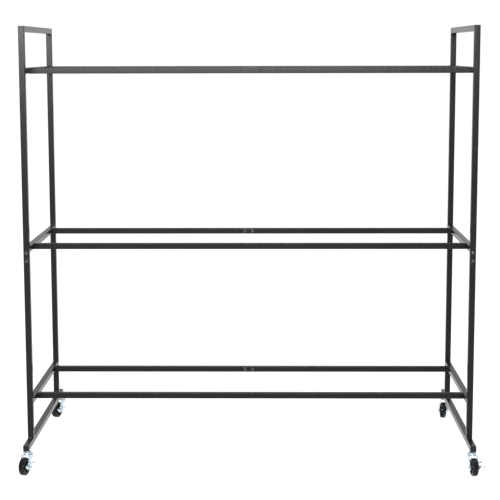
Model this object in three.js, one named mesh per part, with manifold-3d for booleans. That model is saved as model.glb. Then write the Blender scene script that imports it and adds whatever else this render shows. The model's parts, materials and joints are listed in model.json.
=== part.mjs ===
// Rolling clothes rack: two end frames of square steel tube, three levels of paired rails between
// them, and a swivel castor with a side brake under each end of both base bars.
// Millimetres, +Z up, the front towards -Y, the floor at Z = 0.
import * as THREE from 'three';
import { mergeVertices } from 'three/addons/utils/BufferGeometryUtils.js';
import Module from 'manifold-3d';

// Driving dimensions of the frame
const RACK_WIDTH = 1880;
const RACK_DEPTH = 760;
const RACK_HEIGHT = 1850;
const BASE_LENGTH = 1000;
const TUBE = 25;
const WALL = 1.2;
const CORNER = 2.5;
const LEVELS = { lower: 281, mid: 929, top: 1667 };
const RAIL_OFFSET = 255;
const GAP = 0.3;
const MITRE_GAP = GAP * Math.SQRT2;

// Swaged joints: a sleeve half slips over the reduced end of a spigot half
const UPRIGHT_SEAM = 862;
const RAIL_SEAM = 48;
const SPIGOT_SIZE = TUBE - 2 * WALL - 2 * GAP;
const SPIGOT_LENGTH = 72;
const SWAGE_LENGTH = 3;
const JOINT_BOLTS = [20, 55];

// Threaded parts welded inside the tubes, and the caps of the base bars
const BOLT_HOLE = 3.4;
const THREAD_BORE = 3;
const WELD_NUT = { radius: 5.8, thickness: 5 };
const STEM_NUT = { radius: 10.4, thickness: 9 };
const PLUG_LENGTH = 12;
const WELD = 0.2;
const CAP_LIP = 3;
const CAP_PLUG = 14;

// Castors, about the stem's axis with the wheel trailing towards -Y
const CASTOR_HEIGHT = 100;
const CASTOR_INSET = 30;
const CASTOR_TURN = { front_left: -14, front_right: 6, rear_left: -20, rear_right: -15 };
const STEM_RADIUS = 6;
const STEM_TOP = CASTOR_HEIGHT + 18;
const COLLAR_ACROSS_FLATS = 19;
const COLLAR_HEIGHT = 7.5;
const RACE_RADIUS = 17;
const RACE_UNDERSIDE = 88.9;
const RACE_THICKNESS = 3;
const KING_PIN_RADIUS = 5;
const BALL_TRACK = { radius: 11.5, width: 4.6, depth: 4.4 };
const CROWN_TOP = 83.6;
const SHEET = 2.5;
const FORK_HALF_WIDTH = 19;
const FORK_HALF_LENGTH = 20;
const TRAIL = 33;
const WHEEL_RADIUS = 37.5;
const WHEEL_SIDES = 24;
const TREAD_HALF_WIDTH = 12;
const CORE_RADIUS = 28;
const HUB_HALF_LENGTH = 15.5;
const AXLE_RADIUS = 4;
const LEVER_THICKNESS = 2;
const LEVER_HALF_SPAN = 30;
const LEVER_RISE = 9;
const WING_LENGTH = 27;
const WING_WIDTH = 14;
const WING_TILT = 15;

const POWDER_COAT = { color: 0x29292b, roughness: 0.42, metalness: 0.1 };
const ZINC = { color: 0xc3ccd6, roughness: 0.28, metalness: 0.9 };
const BLACK_PLASTIC = { color: 0x1b1b1d, roughness: 0.5, metalness: 0 };
const BLACK_RUBBER = { color: 0x18181b, roughness: 0.4, metalness: 0 };

const HALF_TURN = Math.PI;
const QUARTER_TURN = Math.PI / 2;
const SIDES = { left: -1, right: 1 };
const ENDS = { front: -1, rear: 1 };

const wasm = await Module();
wasm.setup();

const rack = new THREE.Group();

function addPiece(name, geometry, finish, parent = rack) {
  const mesh = new THREE.Mesh(geometry, new THREE.MeshStandardMaterial(finish));
  mesh.name = name;
  parent.add(mesh);
  return mesh;
}

// ---------------------------------------------------------------- solids and booleans

function toSolid(geometry) {
  const bare = geometry.clone();
  bare.deleteAttribute('normal');
  bare.deleteAttribute('uv');
  const merged = mergeVertices(bare, 1e-4);
  const corners = merged.index.array;
  const triVerts = [];
  for (let i = 0; i < corners.length; i += 3) {
    const triangle = [corners[i], corners[i + 1], corners[i + 2]];
    if (new Set(triangle).size === 3) {
      triVerts.push(...triangle);
    }
  }
  return new wasm.Manifold(new wasm.Mesh({
    numProp: 3,
    vertProperties: new Float32Array(merged.attributes.position.array),
    triVerts: new Uint32Array(triVerts),
  }));
}

function toGeometry(solid) {
  const mesh = solid.getMesh();
  const geometry = new THREE.BufferGeometry();
  geometry.setAttribute('position', new THREE.BufferAttribute(mesh.vertProperties, 3));
  geometry.setIndex(new THREE.BufferAttribute(mesh.triVerts, 1));
  geometry.computeVertexNormals();
  return geometry;
}

function combine({ added, removed = [] }) {
  let solid = toSolid(added[0]);
  for (const geometry of added.slice(1)) {
    solid = solid.add(toSolid(geometry));
  }
  for (const geometry of removed) {
    solid = solid.subtract(toSolid(geometry));
  }
  return toGeometry(solid);
}

function drill(axis, radius, length, x, y, z) {
  const cutter = new THREE.CylinderGeometry(radius, radius, length, 8);
  if (axis === 'x') {
    cutter.rotateZ(QUARTER_TURN);
  }
  if (axis === 'z') {
    cutter.rotateX(QUARTER_TURN);
  }
  return cutter.translate(x, y, z);
}

function turned(profile, sides) {
  const points = profile.map(([radius, height]) => new THREE.Vector2(radius, height));
  return new THREE.LatheGeometry(points, sides, Math.PI / sides);
}

// ---------------------------------------------------------------- square tube

function squareOutline(size, radius, path = new THREE.Shape()) {
  const flat = size / 2 - radius;
  path.absarc(flat, flat, radius, 0, QUARTER_TURN);
  path.absarc(-flat, flat, radius, QUARTER_TURN, HALF_TURN);
  path.absarc(-flat, -flat, radius, HALF_TURN, HALF_TURN + QUARTER_TURN);
  path.absarc(flat, -flat, radius, HALF_TURN + QUARTER_TURN, 2 * HALF_TURN);
  path.closePath();
  return path;
}

// Square tube along Z, from one height to the other
function tube(from, to, size = TUBE, bore = TUBE - 2 * WALL) {
  const shape = squareOutline(size, CORNER);
  shape.holes.push(squareOutline(bore, CORNER - WALL, new THREE.Path()));
  const settings = { depth: to - from, bevelEnabled: false, curveSegments: 1 };
  return new THREE.ExtrudeGeometry(shape, settings).translate(0, 0, from);
}

// Cuts the end of a tube that lies at one height to a mitre that slopes along Y
function mitre(geometry, height, slope) {
  const position = geometry.attributes.position;
  for (let i = 0; i < position.count; i += 1) {
    if (Math.abs(position.getZ(i) - height) < 0.01) {
      position.setZ(i, height + slope * position.getY(i));
    }
  }
  return geometry;
}

// ---------------------------------------------------------------- swaged joints

// In a joint's own axes the seam is at Z = 0, the sleeve half runs up, the spigot half runs down
// with its reduced end inside the sleeve, and the bolts go in through the face towards -Y.
function sleeveHalf(length, endSlope = 0) {
  const body = mitre(tube(GAP / 2, length), length, endSlope);
  const holes = JOINT_BOLTS.map((z) => drill('y', BOLT_HOLE, 5, 0, -TUBE / 2, z));
  return { added: [body], removed: holes };
}

// The spigot's bolts screw into nuts welded inside its wall
function spigotHalf(length) {
  const bore = SPIGOT_SIZE - 2 * WALL;
  const body = tube(-length, -GAP / 2);
  const swage = tube(-SWAGE_LENGTH, -GAP / 2, TUBE, bore);
  const spigot = tube(-SWAGE_LENGTH, SPIGOT_LENGTH, SPIGOT_SIZE, bore);
  const nutY = (WELD_NUT.thickness - bore) / 2 - WELD;
  const nuts = JOINT_BOLTS.map((z) => {
    const nut = new THREE.CylinderGeometry(WELD_NUT.radius, WELD_NUT.radius, WELD_NUT.thickness, 6);
    return nut.translate(0, nutY, z);
  });
  const holes = JOINT_BOLTS.map((z) => drill('y', THREAD_BORE, SPIGOT_SIZE, 0, -SPIGOT_SIZE / 2, z));
  return { added: [body, swage, spigot, ...nuts], removed: holes };
}

// A threaded plug is welded into the far end of each rail half, flush with the tube's end
function withEndPlug(half, endZ) {
  const inward = -Math.sign(endZ);
  const size = TUBE - 2 * WALL + 2 * WELD;
  const plug = new THREE.BoxGeometry(size, size, PLUG_LENGTH);
  plug.translate(0, 0, endZ + inward * PLUG_LENGTH / 2);
  half.added.push(plug);
  half.removed.push(drill('z', THREAD_BORE, 3 * PLUG_LENGTH, 0, 0, endZ));
  return half;
}

// A place is the turn and position of a joint's own axes in the rack
function uprightJoint(side, end) {
  const x = side * (RACK_WIDTH - TUBE) / 2;
  const y = end * (RACK_DEPTH - TUBE) / 2;
  const turn = end < 0 ? 0 : HALF_TURN;
  return new THREE.Matrix4().makeRotationZ(turn).setPosition(x, y, UPRIGHT_SEAM);
}

function railJoint(end, level) {
  const turn = end < 0 ? HALF_TURN : 0;
  const place = new THREE.Matrix4().makeRotationZ(turn);
  place.multiply(new THREE.Matrix4().makeRotationY(QUARTER_TURN));
  return place.setPosition(-end * RAIL_SEAM, end * RAIL_OFFSET, level);
}

// ---------------------------------------------------------------- end frames

const FRAME_X = (RACK_WIDTH - TUBE) / 2;
const UPRIGHT_Y = (RACK_DEPTH - TUBE) / 2;
const STEM_Y = BASE_LENGTH / 2 - CASTOR_INSET;

// The castors' stems screw into nuts welded inside the bar's lower wall
function baseBar() {
  const half = BASE_LENGTH / 2 - CAP_LIP - GAP;
  const bar = tube(-half, half).rotateX(QUARTER_TURN);
  const nutZ = (STEM_NUT.thickness - TUBE) / 2 + WALL - WELD;
  const nuts = [-STEM_Y, STEM_Y].map((y) => {
    const nut = new THREE.CylinderGeometry(STEM_NUT.radius, STEM_NUT.radius, STEM_NUT.thickness, 6);
    return nut.rotateX(QUARTER_TURN).translate(0, y, nutZ);
  });
  const holes = [-STEM_Y, STEM_Y].map((y) => drill('z', STEM_RADIUS + 2 * GAP, TUBE, 0, y, -TUBE / 2));
  return combine({ added: [bar, ...nuts], removed: holes });
}

function crossBar() {
  const half = RACK_DEPTH / 2 - TUBE - GAP;
  const bar = tube(-half, half).rotateX(QUARTER_TURN);
  const holes = [-RAIL_OFFSET, RAIL_OFFSET].map((y) => drill('x', BOLT_HOLE, 2 * TUBE, 0, y, 0));
  return combine({ added: [bar], removed: holes });
}

function topBar() {
  const half = UPRIGHT_Y;
  const bar = tube(-half, half);
  mitre(bar, half, -1);
  mitre(bar, -half, 1);
  return bar.rotateX(-QUARTER_TURN);
}

for (const [sideName, side] of Object.entries(SIDES)) {
  const base = addPiece(`${sideName}_base_bar`, baseBar(), POWDER_COAT);
  base.position.set(side * FRAME_X, 0, CASTOR_HEIGHT + TUBE / 2);

  for (const [levelName, level] of Object.entries(LEVELS)) {
    const bar = addPiece(`${sideName}_${levelName}_cross_bar`, crossBar(), POWDER_COAT);
    bar.position.set(side * FRAME_X, 0, level);
  }

  const top = addPiece(`${sideName}_top_bar`, topBar(), POWDER_COAT);
  top.position.set(side * FRAME_X, 0, RACK_HEIGHT - TUBE / 2);

  for (const [endName, end] of Object.entries(ENDS)) {
    const place = uprightJoint(side, end);
    const upperLength = RACK_HEIGHT - TUBE / 2 - UPRIGHT_SEAM - MITRE_GAP;
    const lowerLength = UPRIGHT_SEAM - CASTOR_HEIGHT - TUBE - GAP;
    const upper = sleeveHalf(upperLength, -1);
    const lower = spigotHalf(lowerLength);
    addPiece(`${sideName}_${endName}_upper_upright`, combine(upper), POWDER_COAT).applyMatrix4(place);
    addPiece(`${sideName}_${endName}_lower_upright`, combine(lower), POWDER_COAT).applyMatrix4(place);
  }
}

// ---------------------------------------------------------------- rails

for (const [levelName, level] of Object.entries(LEVELS)) {
  for (const [endName, end] of Object.entries(ENDS)) {
    const place = railJoint(end, level);
    const reach = RACK_WIDTH / 2 - TUBE - GAP;
    const sleeveEnd = reach + RAIL_SEAM;
    const spigotEnd = RAIL_SEAM - reach;
    const sleeve = combine(withEndPlug(sleeveHalf(sleeveEnd), sleeveEnd));
    const spigot = combine(withEndPlug(spigotHalf(-spigotEnd), spigotEnd));
    addPiece(`${levelName}_${endName}_rail_sleeve`, sleeve, POWDER_COAT).applyMatrix4(place);
    addPiece(`${levelName}_${endName}_rail_spigot`, spigot, POWDER_COAT).applyMatrix4(place);
  }
}

// ---------------------------------------------------------------- end caps

function endCap() {
  const settings = { bevelEnabled: false, curveSegments: 1 };
  const lip = new THREE.ExtrudeGeometry(squareOutline(TUBE, CORNER), { depth: CAP_LIP, ...settings });
  const plugShape = squareOutline(SPIGOT_SIZE, CORNER - WALL);
  const plug = new THREE.ExtrudeGeometry(plugShape, { depth: CAP_PLUG + 1, ...settings });
  return combine({ added: [lip, plug.translate(0, 0, -CAP_PLUG)] });
}

for (const [sideName, side] of Object.entries(SIDES)) {
  for (const [endName, end] of Object.entries(ENDS)) {
    const cap = addPiece(`${sideName}_${endName}_base_end_cap`, endCap(), BLACK_PLASTIC);
    cap.rotation.x = -end * QUARTER_TURN;
    cap.position.set(side * FRAME_X, end * (BASE_LENGTH / 2 - CAP_LIP), CASTOR_HEIGHT + TUBE / 2);
  }
}

// ---------------------------------------------------------------- castors

// Threaded stem, hex collar, upper race with its ring of balls as one track, and king pin,
// riveted over under the fork's crown
function castorStem() {
  const raceTop = RACE_UNDERSIDE + RACE_THICKNESS;
  const headTop = CROWN_TOP - SHEET - GAP;
  const trackInner = BALL_TRACK.radius - BALL_TRACK.width / 2;
  const trackBottom = RACE_UNDERSIDE - BALL_TRACK.depth;
  const spindle = turned([
    [0, headTop - 3],
    [8, headTop - 3],
    [8, headTop],
    [KING_PIN_RADIUS, headTop],
    [KING_PIN_RADIUS, RACE_UNDERSIDE],
    [trackInner, RACE_UNDERSIDE],
    [trackInner, trackBottom],
    [trackInner + BALL_TRACK.width, trackBottom],
    [trackInner + BALL_TRACK.width, RACE_UNDERSIDE],
    [RACE_RADIUS, RACE_UNDERSIDE],
    [RACE_RADIUS - 1.5, raceTop],
    [STEM_RADIUS, raceTop],
    [STEM_RADIUS, STEM_TOP - 1],
    [STEM_RADIUS - 1, STEM_TOP],
    [0, STEM_TOP],
  ], 12).rotateX(QUARTER_TURN);
  const radius = COLLAR_ACROSS_FLATS / Math.sqrt(3);
  const collar = new THREE.CylinderGeometry(radius, radius, COLLAR_HEIGHT, 6).rotateX(QUARTER_TURN);
  collar.translate(0, 0, CASTOR_HEIGHT - GAP - COLLAR_HEIGHT / 2);
  return combine({ added: [spindle, collar] });
}

// One leg of the fork in the YZ plane: straight front edge, round boss and curved rear edge
function legOutline() {
  const boss = 12;
  const shape = new THREE.Shape();
  shape.moveTo(FORK_HALF_LENGTH, CROWN_TOP);
  shape.lineTo(-FORK_HALF_LENGTH, CROWN_TOP);
  shape.lineTo(-TRAIL - boss, WHEEL_RADIUS);
  shape.absarc(-TRAIL, WHEEL_RADIUS, boss, HALF_TURN, HALF_TURN * 1.8);
  shape.quadraticCurveTo(-6, 58, FORK_HALF_LENGTH, 70);
  shape.closePath();
  return shape;
}

// A plate cut from an outline in the YZ plane, from one X to the other
function sidePlate(outline, fromX, toX, curveSegments = 3) {
  const settings = { depth: toX - fromX, bevelEnabled: false, curveSegments };
  const plate = new THREE.ExtrudeGeometry(outline, settings);
  return plate.rotateX(QUARTER_TURN).rotateZ(QUARTER_TURN).translate(fromX, 0, 0);
}

function fork() {
  const inner = FORK_HALF_WIDTH - SHEET;
  const crown = new THREE.BoxGeometry(2 * FORK_HALF_WIDTH, 2 * FORK_HALF_LENGTH, SHEET);
  crown.translate(0, 0, CROWN_TOP - SHEET / 2);
  const legs = [-FORK_HALF_WIDTH, inner].map((x) => sidePlate(legOutline(), x, x + SHEET));
  const pinHole = drill('z', KING_PIN_RADIUS + 2 * GAP, 4 * SHEET, 0, 0, CROWN_TOP);
  const axleHole = drill('x', AXLE_RADIUS + 2 * GAP, 3 * FORK_HALF_WIDTH, 0, -TRAIL, WHEEL_RADIUS);
  return combine({ added: [crown, ...legs], removed: [pinHole, axleHole] });
}

// Turned pieces on the axle's line, with the profile's height along +X
function onAxle(geometry) {
  return geometry.rotateZ(-QUARTER_TURN).translate(0, -TRAIL, WHEEL_RADIUS);
}

// The flat of the polygon, not its corner, rests on the floor
function tyre() {
  const stretch = 1 / Math.cos(Math.PI / WHEEL_SIDES);
  const crownRadius = WHEEL_RADIUS * stretch;
  const bore = (CORE_RADIUS + GAP) * stretch;
  return onAxle(turned([
    [bore, -TREAD_HALF_WIDTH],
    [crownRadius - 4, -TREAD_HALF_WIDTH],
    [crownRadius - 1, -TREAD_HALF_WIDTH + 3],
    [crownRadius, -TREAD_HALF_WIDTH + 7],
    [crownRadius, TREAD_HALF_WIDTH - 7],
    [crownRadius - 1, TREAD_HALF_WIDTH - 3],
    [crownRadius - 4, TREAD_HALF_WIDTH],
    [bore, TREAD_HALF_WIDTH],
    [bore, -TREAD_HALF_WIDTH],
  ], WHEEL_SIDES));
}

function wheelCore() {
  const bore = AXLE_RADIUS + GAP + 0.1;
  const rim = TREAD_HALF_WIDTH - 1;
  return onAxle(turned([
    [bore, -HUB_HALF_LENGTH],
    [9, -HUB_HALF_LENGTH],
    [10, -6],
    [24, -6],
    [CORE_RADIUS, -rim],
    [CORE_RADIUS, rim],
    [24, 6],
    [10, 6],
    [9, HUB_HALF_LENGTH],
    [bore, HUB_HALF_LENGTH],
    [bore, -HUB_HALF_LENGTH],
  ], WHEEL_SIDES));
}

function axle() {
  const nutFace = -FORK_HALF_WIDTH - GAP;
  const headFace = FORK_HALF_WIDTH + LEVER_THICKNESS + 3 * GAP;
  return onAxle(turned([
    [0, nutFace - 6],
    [7, nutFace - 6],
    [7, nutFace],
    [AXLE_RADIUS, nutFace],
    [AXLE_RADIUS, headFace],
    [6.5, headFace],
    [6.5, headFace + 4],
    [0, headFace + 4],
  ], 12));
}

// A plate on the axle outside the fork, with a wing bent out at each end for the toe
function brakeLever() {
  const boss = 10;
  const wingZ = WHEEL_RADIUS + LEVER_RISE;
  const outline = new THREE.Shape();
  outline.moveTo(-TRAIL + LEVER_HALF_SPAN, wingZ + 2);
  outline.lineTo(-TRAIL - LEVER_HALF_SPAN, wingZ + 2);
  outline.lineTo(-TRAIL - LEVER_HALF_SPAN, wingZ - 6);
  outline.absarc(-TRAIL, WHEEL_RADIUS, boss, HALF_TURN * 1.2, HALF_TURN * 1.8);
  outline.lineTo(-TRAIL + LEVER_HALF_SPAN, wingZ - 6);
  outline.closePath();
  const plateX = FORK_HALF_WIDTH + GAP + 0.1;
  const plate = sidePlate(outline, plateX, plateX + LEVER_THICKNESS);
  const wings = [-1, 1].map((end) => {
    const wing = new THREE.BoxGeometry(WING_LENGTH, WING_WIDTH, LEVER_THICKNESS);
    wing.translate(WING_LENGTH / 2, 0, 0);
    wing.rotateY(THREE.MathUtils.degToRad(-end * WING_TILT));
    return wing.translate(plateX, -TRAIL + end * (LEVER_HALF_SPAN - WING_WIDTH / 2), wingZ);
  });
  const axleHole = drill('x', AXLE_RADIUS + 2 * GAP, 2 * TUBE, plateX, -TRAIL, WHEEL_RADIUS);
  const inside = new THREE.BoxGeometry(TUBE, 4 * TUBE, TUBE);
  inside.translate(plateX - TUBE / 2, -TRAIL, wingZ);
  return combine({ added: [plate, ...wings], removed: [axleHole, inside] });
}

for (const [sideName, side] of Object.entries(SIDES)) {
  for (const [endName, end] of Object.entries(ENDS)) {
    const corner = `${endName}_${sideName}`;
    const castor = new THREE.Group();
    castor.position.set(side * FRAME_X, end * STEM_Y, 0);
    castor.rotation.z = THREE.MathUtils.degToRad(CASTOR_TURN[corner]);
    rack.add(castor);
    addPiece(`castor_${corner}_stem`, castorStem(), ZINC, castor);
    addPiece(`castor_${corner}_fork`, fork(), ZINC, castor);
    addPiece(`castor_${corner}_axle`, axle(), ZINC, castor);
    addPiece(`castor_${corner}_tyre`, tyre(), BLACK_RUBBER, castor);
    addPiece(`castor_${corner}_wheel_core`, wheelCore(), BLACK_PLASTIC, castor);
    addPiece(`castor_${corner}_brake_lever`, brakeLever(), ZINC, castor);
  }
}

// The origin is under the middle of the rack's box, castors and levers included
rack.updateMatrixWorld(true);
const middle = new THREE.Box3().setFromObject(rack).getCenter(new THREE.Vector3());
rack.position.set(-middle.x, -middle.y, 0);

export default rack;
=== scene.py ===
"""Rolling clothes rack: the finished look of its tubes, fasteners, end caps and castors.

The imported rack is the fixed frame. Every piece here is drawn in millimetres, in the place that the
frame gives, and brought to metres as it becomes an object.
"""

import json
import math

import bmesh
import bpy
from bpy.props import FloatProperty, FloatVectorProperty, IntProperty, PointerProperty
from mathutils import Matrix, Vector


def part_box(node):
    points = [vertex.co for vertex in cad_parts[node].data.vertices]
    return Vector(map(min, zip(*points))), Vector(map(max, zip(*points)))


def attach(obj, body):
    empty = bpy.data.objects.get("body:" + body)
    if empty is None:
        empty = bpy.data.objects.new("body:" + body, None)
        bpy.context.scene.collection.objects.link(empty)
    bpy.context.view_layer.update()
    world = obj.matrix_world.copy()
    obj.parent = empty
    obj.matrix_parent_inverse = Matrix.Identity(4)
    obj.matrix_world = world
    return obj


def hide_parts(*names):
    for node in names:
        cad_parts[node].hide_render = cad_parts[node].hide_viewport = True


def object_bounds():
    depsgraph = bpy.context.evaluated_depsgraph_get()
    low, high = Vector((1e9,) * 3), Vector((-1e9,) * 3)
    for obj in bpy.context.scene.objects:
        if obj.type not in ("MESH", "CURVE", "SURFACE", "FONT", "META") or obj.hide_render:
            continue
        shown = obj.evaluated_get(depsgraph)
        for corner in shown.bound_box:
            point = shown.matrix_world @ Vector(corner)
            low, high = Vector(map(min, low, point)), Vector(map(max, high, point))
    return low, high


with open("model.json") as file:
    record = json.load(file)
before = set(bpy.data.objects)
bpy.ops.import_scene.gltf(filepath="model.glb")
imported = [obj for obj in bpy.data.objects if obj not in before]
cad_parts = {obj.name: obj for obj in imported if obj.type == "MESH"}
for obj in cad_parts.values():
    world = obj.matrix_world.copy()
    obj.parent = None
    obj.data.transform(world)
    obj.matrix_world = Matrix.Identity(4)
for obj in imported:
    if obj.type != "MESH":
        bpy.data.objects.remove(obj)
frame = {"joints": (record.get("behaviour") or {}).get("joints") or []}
CAD_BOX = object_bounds()

bl_info = {
    "name": "Rolling Clothes Rack",
    "version": (1, 0, 0),
    "blender": (4, 5, 0),
    "location": "3D Viewport > Sidebar > Clothes Rack",
    "description": "Builds a rolling clothes rack of square steel tube on four swivel castors",
    "category": "Add Mesh",
}

MM = 0.001
TINY = 0.01
HOLE_CLEARANCE = 0.6

X = Vector((1, 0, 0))
Y = Vector((0, 1, 0))
Z = Vector((0, 0, 1))
SIDES = {"left": -X, "right": X}
ENDS = {"front": -Y, "rear": Y}
LEVELS = ("lower", "mid", "top")
CORNERS = [(side, end) for side in SIDES for end in ENDS]

# The tubes and how they join
JOINT_GAP = 0.3
SPIGOT_SHARE = 0.88
SHOULDER_LENGTH = 1.2
END_PLUG_LENGTH = 12
END_PLUG_RECESS = 0.5
JOINT_BOLTS = (20, 55)
JOINT_BOLT_LENGTH = 10
RAIL_END_BOLT_LENGTH = 36
BOLT_HOLE_RADIUS = 3.4
WELD_NUT_RADIUS = 5.8
WELD_NUT_HEIGHT = 5
WELD_NUT_DEPTH = 4
STEM_NUT_ACROSS_FLATS = 18
STEM_NUT_HEIGHT = 9
WASHER_THICKNESS = 1.2
CAP_RIBS = (3, 6.5, 10)

# The castor, about its stem with the wheel trailing towards -Y
STEM_RADIUS = 6
STEM_HEIGHTS = (99.7, 117.5)
COLLAR_HEIGHTS = (92.2, 99.7)
COLLAR_ACROSS_FLATS = 19
RACE_HEIGHT = 91.9
BALL_RADIUS = 2.2
BALL_RING_RADIUS = 11.5
BALL_HEIGHT = 86.4
KING_PIN_RADIUS = 5
CROWN_HEIGHT = 83.6
RIVET_HEIGHT = 77.8
SHEET = 2.5
FORK_HALF_WIDTH = 19
FORK_HALF_LENGTH = 20
TRAIL = 33
WHEEL_RADIUS = 37.5
CORE_RADIUS = 28
TREAD_HALF_WIDTH = 12
HUB_HALF_LENGTH = 15.5
AXLE_RADIUS = 4
AXLE_POINT = Vector((0, -TRAIL, WHEEL_RADIUS))
LEVER_FACE = 19.4
LEVER_SHEET = 2
LEVER_HALF_SPAN = 30
LEVER_TOP = 48.5
WING_WIDTH = 14
WING_TILT = 15


# ------------------------------------------------------------------ sizes and colours to change


class TubeSizes(bpy.types.PropertyGroup):
    """The square tube that the rack is made of."""

    size: FloatProperty(
        name="Tube", description="Outside size of the square tube", default=25 * MM, unit="LENGTH"
    )
    wall: FloatProperty(
        name="Wall", description="Thickness of the tube's wall", default=1.2 * MM, unit="LENGTH"
    )
    corner: FloatProperty(
        name="Corner", description="Outside radius of the tube's corners", default=2.5 * MM, unit="LENGTH"
    )
    lip: FloatProperty(
        name="Lip", description="How far cut edges are rounded over", default=0.35 * MM, unit="LENGTH"
    )
    bead: FloatProperty(
        name="Weld bead", description="Radius of the weld beads", default=1.9 * MM, unit="LENGTH"
    )
    corner_steps: IntProperty(
        name="Corner steps", description="Faces round each corner of the tube", default=5, min=2
    )


class FastenerSizes(bpy.types.PropertyGroup):
    """The bolts that hold the tubes together."""

    head: FloatProperty(
        name="Head", description="Radius of a bolt's domed head", default=5.7 * MM, unit="LENGTH"
    )
    dome: FloatProperty(
        name="Dome", description="Height of a bolt's head", default=3.3 * MM, unit="LENGTH"
    )
    shank: FloatProperty(
        name="Shank", description="Radius of a bolt's shank", default=3 * MM, unit="LENGTH"
    )
    socket: FloatProperty(
        name="Socket", description="Half the width of the hexagon socket", default=2 * MM, unit="LENGTH"
    )
    washer: FloatProperty(
        name="Washer", description="Outside radius of a washer", default=7.6 * MM, unit="LENGTH"
    )


class Finishes(bpy.types.PropertyGroup):
    """Colours of the rack's finishes."""

    coat: FloatVectorProperty(
        name="Powder coat", description="Colour of the coated tubes", subtype="COLOR",
        default=(0.006, 0.006, 0.007),
    )
    zinc: FloatVectorProperty(
        name="Zinc", description="Colour of the plated castor parts", subtype="COLOR",
        default=(0.60, 0.67, 0.72),
    )
    rubber: FloatVectorProperty(
        name="Tyre", description="Colour of the tyres", subtype="COLOR", default=(0.005, 0.005, 0.007)
    )
    plastic: FloatVectorProperty(
        name="Plastic", description="Colour of wheel centres and end caps", subtype="COLOR",
        default=(0.005, 0.005, 0.006),
    )
    oxide: FloatVectorProperty(
        name="Bolts", description="Colour of the blackened bolts", subtype="COLOR",
        default=(0.07, 0.07, 0.075),
    )


class Studio(bpy.types.PropertyGroup):
    """The floor, the lights and the camera."""

    lens: FloatProperty(name="Lens", description="Focal length", default=101.67 * MM, unit="LENGTH")
    place: FloatVectorProperty(
        name="Camera", description="Where the camera stands", subtype="TRANSLATION",
        default=(0.06756, -6.15952, 1.74878),
    )
    pitch: FloatProperty(
        name="Pitch", description="How far the camera looks down", default=0.14040, unit="ROTATION"
    )
    yaw: FloatProperty(
        name="Yaw", description="How far the camera looks left", default=0.01239, unit="ROTATION"
    )
    roll: FloatProperty(
        name="Roll", description="How far the camera leans", default=-0.00196, unit="ROTATION"
    )
    overhead: FloatProperty(
        name="Overhead", description="Power of the overhead light", default=60, unit="POWER"
    )
    key: FloatProperty(
        name="Key", description="Power of the light at the front left", default=640, unit="POWER"
    )
    floor: FloatVectorProperty(
        name="Floor", description="Colour of the floor", subtype="COLOR", default=(0.25, 0.25, 0.25)
    )


GROUPS = {
    "rack_tubes": TubeSizes,
    "rack_fasteners": FastenerSizes,
    "rack_finishes": Finishes,
    "rack_studio": Studio,
}


# ------------------------------------------------------------------ procedural finishes


class Value:
    """A number, colour or vector that a node gives, for writing maths on."""

    def __init__(self, nodes, socket):
        self.nodes = nodes
        self.socket = socket

    def maths(self, operation, first, second):
        return self.nodes.add("ShaderNodeMath", {"operation": operation}, {0: first, 1: second})

    def __add__(self, other):
        return self.maths("ADD", self, other)

    def __radd__(self, other):
        return self.maths("ADD", other, self)

    def __sub__(self, other):
        return self.maths("SUBTRACT", self, other)

    def __rsub__(self, other):
        return self.maths("SUBTRACT", other, self)

    def __mul__(self, other):
        return self.maths("MULTIPLY", self, other)

    def __rmul__(self, other):
        return self.maths("MULTIPLY", other, self)


class Nodes:
    """The nodes of one material or world."""

    def __init__(self, tree):
        self.tree = tree

    def fill(self, socket, value):
        if isinstance(value, Value):
            self.tree.links.new(value.socket, socket)
        elif hasattr(socket.default_value, "__len__") and len(socket.default_value) == 4:
            socket.default_value = (*value[:3], 1)
        else:
            socket.default_value = value

    def add(self, kind, settings=None, sockets=None, output=0):
        """Adds a node: its settings first, then its sockets, and gives one of its outputs."""
        node = self.tree.nodes.new(kind)
        for name, value in (settings or {}).items():
            setattr(node, name, value)
        for key, value in (sockets or {}).items():
            self.fill(node.inputs[key], value)
        return Value(self, node.outputs[output])

    def noise(self, place, scale, detail=2, roughness=0.5):
        sockets = {"Vector": place, "Scale": scale, "Detail": detail, "Roughness": roughness}
        return self.add("ShaderNodeTexNoise", {}, sockets)

    def mix(self, share, first, second):
        return self.add("ShaderNodeMix", {"data_type": "RGBA"}, {0: share, 6: first, 7: second}, 2)

    def spread(self, value, low, high):
        """Stretches a value between two levels to run from 0 to 1."""
        sockets = {"Value": value, "From Min": low, "From Max": high}
        return self.add("ShaderNodeMapRange", {"clamp": True}, sockets)


def finish(name, varying, fixed):
    """A material round one Principled shader. varying makes the sockets that change over a surface."""
    material = bpy.data.materials.new(name)
    material.use_nodes = True
    tree = material.node_tree
    nodes = Nodes(tree)
    shader = tree.nodes["Principled BSDF"]
    place = nodes.add("ShaderNodeTexCoord", output="Object")
    for socket, value in {**fixed, **varying(nodes, place)}.items():
        nodes.fill(shader.inputs[socket], value)
    return material


def bump(nodes, height, strength, distance):
    return nodes.add("ShaderNodeBump", {}, {"Height": height, "Strength": strength, "Distance": distance})


def shade(colour, share):
    return tuple(share * part for part in colour)


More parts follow.
